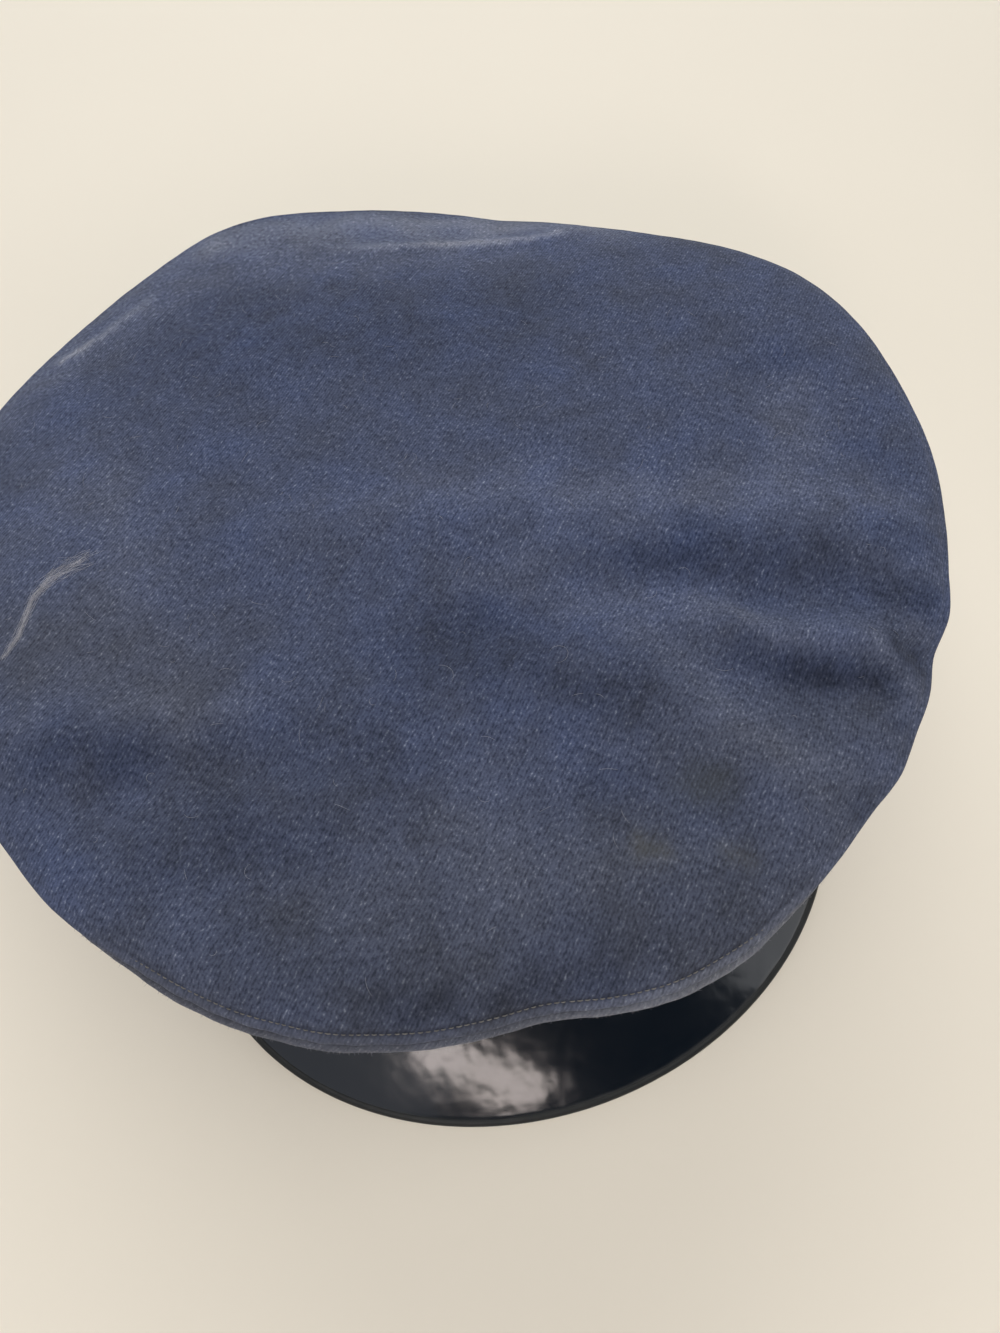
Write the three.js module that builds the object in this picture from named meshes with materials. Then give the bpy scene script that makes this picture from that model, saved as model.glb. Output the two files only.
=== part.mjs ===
// A peaked visor cap at rest: a soft round twill crown on an oval head band, with a bound glossy visor.
// Millimetres, +Z up, the visor towards -Y. Left and right are the wearer's, so left is +X.
// The cap stands by itself, on the rear edge of its band and the front edge of its visor.
// Angles in degrees run round the cap from the front towards +X.
import * as THREE from "three";

// Space kept between neighbouring pieces
const GAP = 0.3;

// Head band: an oval for a 57 cm head
const HEAD_HALF_WIDTH = 80;
const HEAD_HALF_LENGTH = 100;
const BAND_WALL = 2.6;
const BAND_HEIGHT = 42;
const FRONT_LIFT = 24; // the visor holds the front of the band this far off the table
const REAR_SETTLE = 1.2; // the cloth at the rear is pressed flat by this much

// Crown
const CLOTH = 1.6;
const RIM_RADIUS = 130.4; // the seam round the top
const RIM_HEIGHT = 85.5; // the seam's height halfway along the cap
const RIM_RISE = 17.5; // the seam is higher by this at the front, and lower by this at the back
const SEAM_RISE = 2.75; // the two cloths' outer faces lie this far above and below the seam
const SEAM_INSET = 0.15;
const SHOULDER_RISE = 5; // the top rolls up from the seam
const SHOULDER_REACH = 7;
const BACK_SLACK = { at_deg: 212, reach_deg: 60, reach: 10 }; // towards the back it rolls from further in
const DOME_RISE = 2;
const FOLD_FADE = 10; // folds die away over this distance from the rim
const SIDE_SAG = 4; // the side panels hang out below a straight line
const TUCK = 6; // the side panels reach this far down inside the band

// Piping round the rim
const WELT_RADIUS = 1.6;
const WELT_OUT = 0.4;
const WELT_SIDES = 8;

// Visor and its binding
const VISOR_WALL = 2.2;
const VISOR_SEAT_DEG = 70; // the ends of the visor, round the band
const VISOR_SEAT_IN = 2; // the visor's inner edge lies under the band's wall by this much
const VISOR_HALF_WIDTH = 97; // its edge is part of an ellipse in plan
const VISOR_HALF_DEPTH = 77.5;
const VISOR_CENTRE_Y = -71.4;
const VISOR_TIP_Z = 2.8;
const VISOR_END_Z = 12;
const VISOR_CAMBER = 0.045; // swell between seat and edge, as a share of that distance
const BINDING_WALL = 0.9;
const BINDING_LIP = 2;

// Facets
const ROUND_STEPS = 80;
const QUARTER_STEPS = 18;
const VISOR_STEPS = 36;
const TOP_SHARES = [0.13, 0.26, 0.37, 0.47, 0.56, 0.64, 0.71, 0.77, 0.83, 0.88, 0.92, 0.955, 0.98, 1];
const SIDE_SHARES = [-1, 0, 0.17, 0.34, 0.51, 0.68, 0.84, 1];
const VISOR_SHARES = [0, 0.16, 0.32, 0.48, 0.64, 0.82, 1];

// Waves of the slack rim: middle and reach along the rim, and the seam's shift outwards and upwards.
const RIM_WAVES = [
  { at_deg: 7, reach_deg: 9, out: 2, up: 0 },
  { at_deg: 30, reach_deg: 8, out: -1.2, up: 0.5 },
  { at_deg: 49, reach_deg: 20, out: -3, up: 0 },
  { at_deg: 49, reach_deg: 5, out: -1.2, up: -1.2 },
  { at_deg: 104, reach_deg: 20, out: 5.5, up: 3 },
  { at_deg: 150, reach_deg: 22, out: -5.5, up: -5 },
  { at_deg: 191, reach_deg: 13, out: 5.5, up: 2.4 },
  { at_deg: 298, reach_deg: 18, out: -4, up: 0 },
  { at_deg: 331, reach_deg: 9, out: 1.3, up: 0 },
  { at_deg: 352, reach_deg: 7, out: -2.6, up: 0 },
];

// Ridges and hollows of the soft top: a bent run in plan, half its breadth, and its height along the run.
const FOLDS = [
  { run: [[-36, 4], [34, -22], [70, -38], [108, -52]], breadth: 12, rise: [1.2, 1.6, 3, 1.6] },
  { run: [[-4, -40], [34, -45], [70, -59], [104, -70]], breadth: 9, rise: [-0.8, -1.2, -2.8, -1.8] },
  { run: [[40, -50], [60, -67], [94, -80]], breadth: 6, rise: [0.8, 2.6, 1.8] },
  { run: [[48, -76], [62, -84], [86, -93]], breadth: 7, rise: [-0.8, -2.4, -1.8] },
  { run: [[22, -56], [36, -82], [56, -114]], breadth: 10, rise: [1.4, 2.4, 2] },
  { run: [[4, -80], [30, -102]], breadth: 12, rise: [-1.6, -1.6] },
  { run: [[-4, -56], [16, -64]], breadth: 9, rise: [1.2, 0.8] },
  { run: [[-110, -32], [-72, -41], [-24, -55]], breadth: 9, rise: [2.2, 1.6, 0.8] },
  { run: [[-112, -52], [-50, -60]], breadth: 9, rise: [-1.6, -1.2] },
  { run: [[-68, -68], [-44, -72]], breadth: 8, rise: [1.2, 0.8] },
  { run: [[-66, -86], [-20, -90]], breadth: 12, rise: [-1.2, -1] },
  { run: [[84, 20], [104, -16]], breadth: 12, rise: [-1.2, -1.4] },
];

// The four side panels, each between the seams at the ends of its quarter turn
const QUARTERS = [
  { name: "quarter_front_left", from_deg: 0 },
  { name: "quarter_back_left", from_deg: 90 },
  { name: "quarter_back_right", from_deg: 180 },
  { name: "quarter_front_right", from_deg: 270 },
];

// Section of the binding: places out from the visor's edge and above its upper face.
const BINDING_OUT = GAP + BINDING_WALL;
const BINDING_SECTION = [
  { outer: [-BINDING_LIP, BINDING_OUT], inner: [-BINDING_LIP, GAP] },
  { outer: [BINDING_OUT / 2, BINDING_OUT], inner: [GAP, GAP] },
  { outer: [BINDING_OUT, 0], inner: [GAP, -VISOR_WALL / 4] },
  { outer: [BINDING_OUT, -VISOR_WALL], inner: [GAP, -0.75 * VISOR_WALL] },
  { outer: [BINDING_OUT / 2, -VISOR_WALL - BINDING_OUT], inner: [GAP, -VISOR_WALL - GAP] },
  { outer: [-BINDING_LIP, -VISOR_WALL - BINDING_OUT], inner: [-BINDING_LIP, -VISOR_WALL - GAP] },
];

const MATERIALS = {
  twill: new THREE.MeshStandardMaterial({ color: 0x4a5164, roughness: 0.95, metalness: 0 }),
  patent: new THREE.MeshStandardMaterial({ color: 0x0c0e12, roughness: 0.12, metalness: 0 }),
  binding: new THREE.MeshStandardMaterial({ color: 0x17181b, roughness: 0.3, metalness: 0 }),
};

const { degToRad, radToDeg, lerp } = THREE.MathUtils;
const NUDGE = 1e-3; // small step along a surface, for its direction there
const bell = (distance, reach) => Math.exp(-((distance / reach) ** 2));
const turnBetween = (a, b) => ((b - a + 540) % 360) - 180;

// Evenly spaced values from one end to the other, both included
function steps(from, to, count) {
  return Array.from({ length: count + 1 }, (_, i) => lerp(from, to, i / count));
}

// The same all the way round, with no value repeated at the end
const ROUND = steps(0, 360, ROUND_STEPS).slice(0, -1);

// A point of a surface, moved off it along its normal: outwards on the sides, downwards on top and visor.
// The surface is a function of the degrees round the cap and of the share of the way across the piece.
function offSurface(surface, deg, share, distance) {
  const round = surface(deg + NUDGE, share).sub(surface(deg - NUDGE, share));
  const across = surface(deg, share + NUDGE).sub(surface(deg, share - NUDGE));
  const normal = round.cross(across).normalize();
  return surface(deg, share).addScaledVector(normal, distance);
}

// Rows of points over a surface, at a distance from it
function grid(surface, degrees, shares, distance) {
  return shares.map((share) => degrees.map((deg) => offSurface(surface, deg, share, distance)));
}

// A closed wall between two matching grids, the front one on the side that columns x rows points to.
// Its columns run all the way round where it is a ring.
// Where hub gives a point for each grid, the first row is closed on it instead of being an edge.
function wallGeometry(front, back, { ring = false, hub = null } = {}) {
  const rows = front.length;
  const columns = front[0].length;
  const points = [...front.flat(), ...back.flat(), ...(hub ?? [])];
  const triangles = [];
  const at = (face, row, column) => (face * rows + row) * columns + (column % columns);
  const quad = (a, b, c, d) => triangles.push(a, b, c, a, c, d);
  const last = rows - 1;
  const spans = ring ? columns : columns - 1;
  for (let i = 0; i < spans; i++) {
    for (let row = 0; row < last; row++) {
      quad(at(0, row, i), at(0, row, i + 1), at(0, row + 1, i + 1), at(0, row + 1, i));
      quad(at(1, row, i), at(1, row + 1, i), at(1, row + 1, i + 1), at(1, row, i + 1));
    }
    quad(at(0, last, i), at(0, last, i + 1), at(1, last, i + 1), at(1, last, i));
    if (hub) {
      triangles.push(2 * rows * columns, at(0, 0, i + 1), at(0, 0, i));
      triangles.push(2 * rows * columns + 1, at(1, 0, i), at(1, 0, i + 1));
    } else {
      quad(at(0, 0, i), at(1, 0, i), at(1, 0, i + 1), at(0, 0, i + 1));
    }
  }
  if (!ring) {
    for (let row = 0; row < last; row++) {
      quad(at(0, row, 0), at(0, row + 1, 0), at(1, row + 1, 0), at(1, row, 0));
      quad(at(0, row, spans), at(1, row, spans), at(1, row + 1, spans), at(0, row + 1, spans));
    }
  }
  const geometry = new THREE.BufferGeometry().setFromPoints(points);
  geometry.setIndex(triangles);
  geometry.computeVertexNormals();
  return geometry;
}

// The band leans back as its front is lifted.
const LEAN = Math.asin(FRONT_LIFT / (2 * HEAD_HALF_LENGTH));

// A point of the band: out from the head opening, and up the band's wall. Nothing goes below the table.
function bandPoint(deg, out, up) {
  const angle = degToRad(deg);
  const back = -(HEAD_HALF_LENGTH + out) * Math.cos(angle);
  const ahead = HEAD_HALF_LENGTH + BAND_WALL - back;
  const z = ahead * Math.sin(LEAN) + up * Math.cos(LEAN) - REAR_SETTLE;
  return new THREE.Vector3(
    (HEAD_HALF_WIDTH + out) * Math.sin(angle),
    back * Math.cos(LEAN) + up * Math.sin(LEAN),
    Math.max(0, z),
  );
}

// The rim seam's shift from its circle
function rimShift(deg) {
  const shift = { out: 0, up: 0 };
  for (const wave of RIM_WAVES) {
    const share = bell(turnBetween(wave.at_deg, deg), wave.reach_deg);
    shift.out += wave.out * share;
    shift.up += wave.up * share;
  }
  return shift;
}

const rimPlane = (y) => RIM_HEIGHT - (RIM_RISE * y) / RIM_RADIUS;

// A point out from the rim seam and above it
function rimPoint(deg, out, up) {
  const angle = degToRad(deg);
  const shift = rimShift(deg);
  const radius = RIM_RADIUS + shift.out + out;
  const y = -radius * Math.cos(angle);
  return new THREE.Vector3(radius * Math.sin(angle), y, rimPlane(y) + shift.up + up);
}

// Height that a fold adds at a place in plan, from the nearest place on its run
function foldHeight({ run, breadth, rise }, spot) {
  let nearest = Infinity;
  let height = 0;
  for (let i = 1; i < run.length; i++) {
    const span = new THREE.Line3(new THREE.Vector3(...run[i - 1]), new THREE.Vector3(...run[i]));
    const along = span.closestPointToPointParameter(spot, true);
    const aside = span.at(along, new THREE.Vector3()).distanceTo(spot);
    if (aside < nearest) {
      nearest = aside;
      height = lerp(rise[i - 1], rise[i], along);
    }
  }
  return height * bell(nearest, breadth);
}

// The upper face of the top, from its middle (share 0) to its sewn edge (share 1)
function topPoint(deg, share) {
  const edge = rimPoint(deg, -SEAM_INSET, SEAM_RISE);
  const spot = new THREE.Vector3(edge.x * share, edge.y * share);
  const inside = Math.hypot(edge.x, edge.y) * (1 - share);
  const slack = bell(turnBetween(BACK_SLACK.at_deg, deg), BACK_SLACK.reach_deg);
  const shoulder = SHOULDER_RISE * (1 - Math.exp(-inside / (SHOULDER_REACH + BACK_SLACK.reach * slack)));
  const dome = DOME_RISE * (1 - share ** 2);
  const folds = FOLDS.reduce((height, fold) => height + foldHeight(fold, spot), 0);
  const lift = rimShift(deg).up * share ** 2;
  const fade = 1 - bell(inside, FOLD_FADE);
  return spot.setZ(rimPlane(spot.y) + lift + SEAM_RISE + shoulder + dome + folds * fade);
}

// The outer face of the side panels, from inside the band (share -1 to 0) up to the rim (share 1)
function sidePoint(deg, share) {
  if (share < 0) {
    return bandPoint(deg, -GAP, BAND_HEIGHT + GAP + share * TUCK);
  }
  const foot = bandPoint(deg, -GAP, BAND_HEIGHT + GAP);
  const head = rimPoint(deg, -SEAM_INSET, -SEAM_RISE);
  const chord = head.clone().sub(foot);
  const level = new THREE.Vector3(chord.x, chord.y, 0);
  const hang = level.clone().setLength(chord.z).setZ(-level.length());
  hang.setLength(SIDE_SAG * Math.sin(Math.PI * share));
  return foot.addScaledVector(chord, share).add(hang);
}

// The upper face of the visor, from its seat under the band (share 0) to its edge (share 1)
const VISOR_END_Y = bandPoint(VISOR_SEAT_DEG, BAND_WALL, 0).y;
const VISOR_EDGE_END = Math.acos((VISOR_CENTRE_Y - VISOR_END_Y) / VISOR_HALF_DEPTH);

function visorPoint(deg, share) {
  const seat = bandPoint(deg, BAND_WALL - VISOR_SEAT_IN, -GAP);
  const angle = (deg / VISOR_SEAT_DEG) * VISOR_EDGE_END;
  const y = VISOR_CENTRE_Y - VISOR_HALF_DEPTH * Math.cos(angle);
  const tipY = VISOR_CENTRE_Y - VISOR_HALF_DEPTH;
  const z = lerp(VISOR_TIP_Z, VISOR_END_Z, (y - tipY) / (VISOR_END_Y - tipY));
  const edge = new THREE.Vector3(VISOR_HALF_WIDTH * Math.sin(angle), y, z);
  const camber = VISOR_CAMBER * seat.distanceTo(edge);
  const point = seat.lerp(edge, share);
  point.z += 4 * camber * share * (1 - share);
  return point;
}

function makeCrownTop() {
  const lower = grid(topPoint, ROUND, TOP_SHARES, CLOTH);
  const upper = grid(topPoint, ROUND, TOP_SHARES, 0);
  const middle = topPoint(0, 0);
  const hub = [middle.clone().setZ(middle.z - CLOTH), middle];
  return wallGeometry(lower, upper, { ring: true, hub });
}

// The piping: the outer and inner halves of a round section, swept round the rim
function makeEdgeWelt() {
  const half = WELT_SIDES / 2;
  const sectionRow = (turn) =>
    ROUND.map((deg) => rimPoint(deg, WELT_OUT + WELT_RADIUS * Math.cos(turn), WELT_RADIUS * Math.sin(turn)));
  const turns = Array.from({ length: half }, (_, i) => ((i + 0.5) / half - 0.5) * Math.PI);
  const outer = turns.map(sectionRow);
  const inner = turns.map((turn) => sectionRow(Math.PI - turn));
  return wallGeometry(outer, inner, { ring: true });
}

function makeQuarter(fromDeg) {
  const seamDeg = radToDeg(GAP / 2 / HEAD_HALF_WIDTH);
  const toDeg = fromDeg + 360 / QUARTERS.length;
  const round = steps(fromDeg + seamDeg, toDeg - seamDeg, QUARTER_STEPS);
  return wallGeometry(grid(sidePoint, round, SIDE_SHARES, 0), grid(sidePoint, round, SIDE_SHARES, -CLOTH));
}

function makeHeadBand() {
  const face = (out) => [0, BAND_HEIGHT].map((up) => ROUND.map((deg) => bandPoint(deg, out, up)));
  return wallGeometry(face(BAND_WALL), face(0), { ring: true });
}

const VISOR_ROUND = steps(-VISOR_SEAT_DEG, VISOR_SEAT_DEG, VISOR_STEPS);

function makeVisor() {
  const lower = grid(visorPoint, VISOR_ROUND, VISOR_SHARES, VISOR_WALL);
  const upper = grid(visorPoint, VISOR_ROUND, VISOR_SHARES, 0);
  return wallGeometry(lower, upper);
}

// The binding: a strip folded over the visor's edge, pressed flat where it stands on the table
function makeVisorBinding() {
  const bindingPoint = (deg, [out, above]) => {
    const outwards = visorPoint(deg, 1).sub(visorPoint(deg, 1 - NUDGE)).normalize();
    const point = offSurface(visorPoint, deg, 1, -above).addScaledVector(outwards, out);
    return point.setZ(Math.max(0, point.z));
  };
  const face = (side) => BINDING_SECTION.map((row) => VISOR_ROUND.map((deg) => bindingPoint(deg, row[side])));
  return wallGeometry(face("inner"), face("outer"));
}

// The finished cap, centred over its footprint
const cap = new THREE.Group();

function addPiece(name, geometry, material) {
  const piece = new THREE.Mesh(geometry, material);
  piece.name = name;
  cap.add(piece);
}

addPiece("crown_top", makeCrownTop(), MATERIALS.twill);
addPiece("edge_welt", makeEdgeWelt(), MATERIALS.twill);
for (const quarter of QUARTERS) {
  addPiece(quarter.name, makeQuarter(quarter.from_deg), MATERIALS.twill);
}
addPiece("head_band", makeHeadBand(), MATERIALS.twill);
addPiece("visor", makeVisor(), MATERIALS.patent);
addPiece("visor_binding", makeVisorBinding(), MATERIALS.binding);

const box = new THREE.Box3().setFromObject(cap);
const centre = box.getCenter(new THREE.Vector3());
cap.position.set(-centre.x, -centre.y, -box.min.z);

const part = new THREE.Group();
part.name = "visor_cap";
part.add(cap);

export default part;
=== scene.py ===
import math
from collections import namedtuple

import bpy
import numpy as np
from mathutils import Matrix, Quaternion, Vector


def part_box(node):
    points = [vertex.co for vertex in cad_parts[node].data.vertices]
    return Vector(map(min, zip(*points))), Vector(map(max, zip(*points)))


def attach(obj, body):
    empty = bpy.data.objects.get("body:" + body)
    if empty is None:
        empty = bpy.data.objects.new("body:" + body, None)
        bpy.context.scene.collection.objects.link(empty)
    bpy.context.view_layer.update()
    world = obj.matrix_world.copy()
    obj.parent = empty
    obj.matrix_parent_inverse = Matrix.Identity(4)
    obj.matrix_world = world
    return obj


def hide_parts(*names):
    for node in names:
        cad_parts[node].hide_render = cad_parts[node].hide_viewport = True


# A worn peaked cap: a soft round twill crown with a piped rim, and a bound glossy visor.
# Lengths are in millimetres until a mesh is made, +Z is up and the visor points towards -Y.
# Angles in degrees run round the cap from the front towards +X, which is the wearer's left.
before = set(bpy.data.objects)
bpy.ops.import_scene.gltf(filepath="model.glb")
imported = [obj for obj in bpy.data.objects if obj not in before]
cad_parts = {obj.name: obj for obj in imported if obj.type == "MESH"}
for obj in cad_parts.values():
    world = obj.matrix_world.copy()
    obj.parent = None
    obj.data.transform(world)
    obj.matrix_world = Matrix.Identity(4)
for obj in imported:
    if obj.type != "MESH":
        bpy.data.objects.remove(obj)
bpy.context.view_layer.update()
scene = bpy.context.scene

MM = 0.001
NUDGE = 1e-3  # a small step, to find a slope or to tell two angles apart
UP = np.array([0, 0, 1])

# Waves that go round the cap: how many, how high, and where they start
Wave = namedtuple("Wave", "count height phase_deg")
# Random bumps: their size, their usual height and their seed
Bumps = namedtuple("Bumps", "size height seed")

# Head band
HEAD_HALF_WIDTH = 80
HEAD_HALF_LENGTH = 100
BAND_WALL = 2.6
BAND_HEIGHT = 42
FRONT_LIFT = 24
REAR_SETTLE = 1.2
LEAN = math.asin(FRONT_LIFT / (2 * HEAD_HALF_LENGTH))
BAND_COVER_IN = 0.3  # room for the slack of its cover
BAND_SLACK = (Wave(9, 0.25, 20),)
BAND_SEAM = 0.5
BAND_SEAM_REACH_DEG = 0.6

# Crown
GAP = 0.3  # between the side panels' foot and the band
SEAM_GAP = 0.06  # sewn pieces are drawn closer together than the solids stand
CLOTH = 1.6
RIM_RADIUS = 130.4
RIM_HEIGHT = 85.5
RIM_RISE = 17.5
SEAM_RISE = 2.75
PANEL_RISE = 1.9  # the side panels end this far below the seam
SEAM_INSET = 0.1  # the turned edge of each cloth rolls over outside this
SHOULDER_RISE = 5
SHOULDER_REACH = 7
BACK_SLACK_DEG = 212  # towards the back the top rolls down from further in
BACK_SLACK_REACH_DEG = 60
BACK_SLACK_REACH = 10
DOME_RISE = 2
FOLD_FADE = 10
FOLD_DEPTH = 1.4  # the drawn folds are this many times as deep as those of the solids
CREASE_FADE = 3
TOP_SLACK = (Bumps(46, 0.3, 11), Bumps(17, 0.14, 12), Bumps(7, 0.05, 13))
SIDE_SAG = 4
SIDE_DRAPE = (Wave(13, 0.9, 30), Wave(22, 0.6, 75))
TUCK = 6
DITCH = 1.1  # the side panels dip this far at their seams
DITCH_REACH_DEG = 0.9
DITCH_AT_RIM = 0.3  # the share of it that is left towards the rim

# Piping and topstitch round the rim
WELT_BREADTH = 1.3  # half sizes of its flattened section
WELT_HEIGHT = 1.05
WELT_OUT = 0.6
WELT_CLEAR = 0.1
WELT_PINCHES = (Wave(97, 0.03, 0), Wave(205, 0.015, 40))
ROLL_FROM_DEG = (8, -40)  # past these places, left and right, the top rolls out over the piping
ROLL_OVER_DEG = 18
ROLL_OUT = 0.3
ROLL_WELT_IN = 1.2
ROLL_SMOOTHS = 0.8  # the roll takes away this share of the ripples and of the rubbed edge
ROLL_EASES = 0.85  # and this share of the puckers
STITCH_INSET = 1.1  # the row of stitches runs this far inside the top's edge
STITCH_PITCH = 1.5
STITCH_LENGTH = 1.15
STITCH_STRAY = (0.05, 0.08)  # how unevenly stitches start, and how uneven their length is
STITCH_SINK = 0.3  # the thread pulls a groove into the cloth
STITCH_GROOVE = 0.8
THREAD_RADIUS = 0.14
PUCKERS = 97  # gathers beside the stitches, counted round the rim
PUCKER_HEIGHT = 0.2
PUCKER_REACH = 6
PUCKER_STRAY = Bumps(60, 2, 14)

# Wear along the rim, with painted shade in the stitches' groove and a painted highlight on the piping's
# edge
BLEACH_DEG = 6
BLEACH_REACH_DEG = 14
STRIP_FADE = 0.7  # bleached cloth between the stitches and the edge
WELT_FADE = 0.9  # bleached piping
WELT_WEAR_AND_HIGHLIGHT = 0.55  # the piping's outer edge is worn pale all round, and carries a painted highlight
WELT_HIGHLIGHT_REACH = 0.35
EDGE_RUB = 0.22
EDGE_RUB_REACH = 1.7
GROOVE_SHADE = 0.5  # painted shade on the inner side of the stitches' groove
GROOVE_SHADE_INSET = 0.2
GROOVE_SHADE_REACH = 0.5

# Visor and binding
VISOR_WALL = 2.2
VISOR_SEAT_DEG = 70
VISOR_SEAT_IN = 2
VISOR_HALF_WIDTH = 97
VISOR_HALF_DEPTH = 77.5
VISOR_CENTRE_Y = -71.4
VISOR_TIP_Z = 2.8
VISOR_END_Z = 12
VISOR_CAMBER = 0.045
VISOR_DENTS = Bumps(26, 0.06, 21)
# Either face of the binding: half its breadth, how far back it sits, and its height over the visor
BindingFace = namedtuple("BindingFace", "out back rise")
BINDING_OUTSIDE = BindingFace(1.5, 0.2, 0.35)
BINDING_INSIDE = BindingFace(0.75, 0.5, 0.1)
BINDING_WRAP = 0.8 * math.pi  # it folds this far round from the visor's edge, above and below

# Waves of the slack rim: middle and reach along it, and the seam's shift outwards and upwards
RimWave = namedtuple("RimWave", "at_deg reach_deg out up")
RIM_WAVES = (
    RimWave(7, 9, 2, 0),
    RimWave(30, 8, -1.2, 0.5),
    RimWave(34, 4, 1.2, 0),
    RimWave(45, 3.5, 0.8, 0),
    RimWave(49, 20, -2.6, 0),
    RimWave(49, 5, -1.2, -1.2),
    RimWave(54, 4, 1.5, 0),
    RimWave(77, 6, 0.7, 0),
    RimWave(104, 20, 4.4, 3),
    RimWave(128, 12, -2.2, 0),
    RimWave(150, 22, -5.5, -5),
    RimWave(152, 5, -0.9, 0),
    RimWave(191, 13, 4, 2.4),
    RimWave(192, 40, -1, 0),
    RimWave(220, 10, -1, 0),
    RimWave(298, 18, -4, 0),
    RimWave(304, 7, 1.4, 0),
    RimWave(331, 9, 1.3, 0),
    RimWave(352, 7, -2.0, 0),
)

# Small ripples of the rim: how many go round it, their size outwards and upwards, and where they start
RimRipple = namedtuple("RimRipple", "count out up phase_deg")
RIM_RIPPLES = (
    RimRipple(17, 0.12, 0.3, 40),
    RimRipple(29, 0.1, 0.22, 110),
    RimRipple(47, 0.07, 0.16, 250),
)

# Ridges and hollows of the top: a bent run in plan, half its breadth, and its height along the run
Fold = namedtuple("Fold", "run breadth rise")
FOLDS = (
    Fold(((-36, 4), (34, -22), (70, -38), (108, -52)), 12, (1.2, 1.6, 3.0, 1.6)),
    Fold(((-4, -40), (34, -45), (70, -59), (104, -70)), 9, (-0.8, -1.2, -2.8, -1.8)),
    Fold(((40, -50), (60, -67), (94, -80)), 6, (0.8, 2.6, 1.8)),
    Fold(((48, -76), (62, -84), (86, -93)), 7, (-0.8, -2.4, -1.8)),
    Fold(((22, -56), (36, -82), (56, -114)), 10, (1.4, 2.4, 2.0)),
    Fold(((4, -80), (30, -102)), 12, (-1.6, -1.6)),
    Fold(((-4, -56), (16, -64)), 9, (1.2, 0.8)),
    Fold(((-110, -32), (-72, -41), (-24, -55)), 9, (2.2, 1.6, 0.8)),
    Fold(((-112, -52), (-50, -60)), 9, (-1.6, -1.2)),
    Fold(((-68, -68), (-44, -72)), 8, (1.2, 0.8)),
    Fold(((-66, -86), (-20, -90)), 12, (-1.2, -1.0)),
    Fold(((84, 20), (104, -16)), 12, (-1.2, -1.4)),
)

# Crests where the slack top turns down to the rim, at the back and at the right of the back
BACK_CREST = ((1, 105), (22, 99), (43, 95), (52, 93), (61, 90), (71, 90))
SIDE_CREST = ((-84, 90), (-71, 95), (-54, 105))

# Sharper creases that lie on the folds and crests
CREASES = (
    Fold(((82, -77), (89, -95)), 2.6, (0.5, 1.5)),
    Fold(((91, -81), (96, -88)), 3.0, (-1.2, -1.2)),
    Fold(((50, -57), (60, -67), (80, -76)), 3.0, (0.3, 0.9, 0.5)),
    Fold(((62, -76), (82, -86)), 4.0, (-0.6, -0.8)),
    Fold(BACK_CREST, 3.0, (0.2, 0.8, 0.9, 0.9, 0.8, 0.3)),
    Fold(SIDE_CREST, 3.0, (0.8, 0.7, 0.2)),
)

# A wisp of pulled fibres on the right side of the top
WISP = ((-108.4, -10.1), (-104.5, -5.7), (-99, 5.1), (-92.6, 10), (-85.4, 11.5))

# Discoloured places of the top, and places with painted light or shade: a bent run in plan, its reach, and
# how strong it is along the run
Mark = namedtuple("Mark", "run reach strength")
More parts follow.
